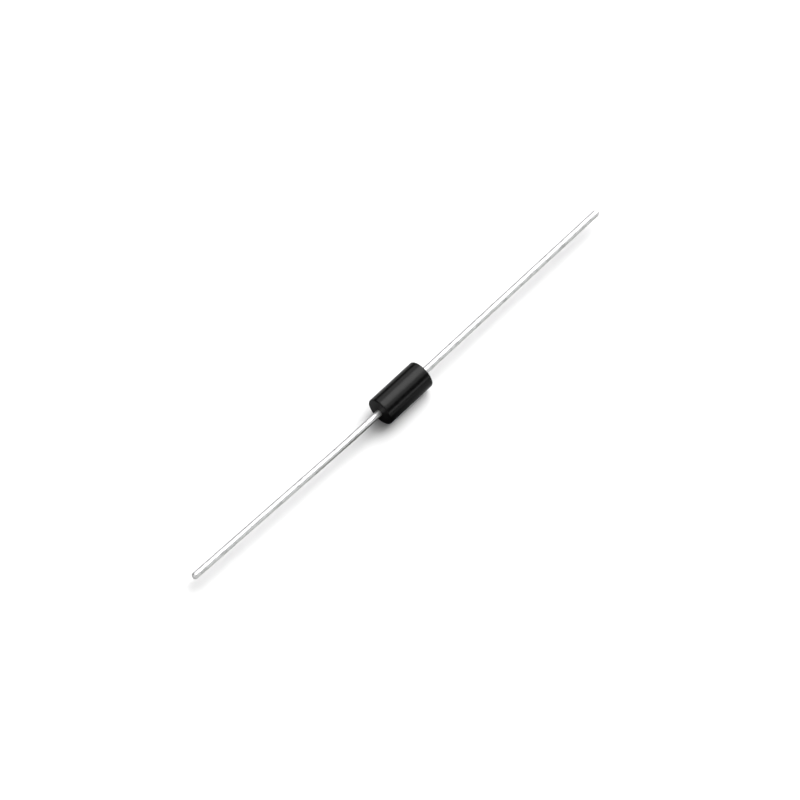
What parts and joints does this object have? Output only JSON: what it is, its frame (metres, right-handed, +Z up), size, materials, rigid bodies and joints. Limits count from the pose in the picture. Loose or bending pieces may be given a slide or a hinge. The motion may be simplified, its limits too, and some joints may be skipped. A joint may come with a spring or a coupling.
{
  "type": "tvs diode",
  "caption": "Axial transient voltage suppressor diode: a black moulded cylinder cast round a silicon junction, with a bare tinned wire lead out of each end.",
  "frame": {"origin": "middle of the silicon die, which is the middle of the body and of the part, on the axis of the leads", "axes": "+X along the straight lead, +Y to the side that the other lead bends to, +Z up when the part lies on its body"},
  "size_m": [0.0624, 0.0032, 0.0032],
  "materials": {
    "epoxy": "black moulded epoxy with a fine satin surface",
    "tinned_wire": "bright tin plating on drawn copper wire",
    "solder": "dull solder",
    "silicon": "grey silicon with nickelled faces",
    "silicone": "soft off-white silicone"
  },
  "bodies": {
    "root": {"moulded_body": "epoxy", "lead_left": "tinned_wire", "lead_right": "tinned_wire", "solder_left": "solder", "solder_right": "solder", "silicon_die": "silicon", "junction_coating": "silicone"}
  },
  "joints": []
}
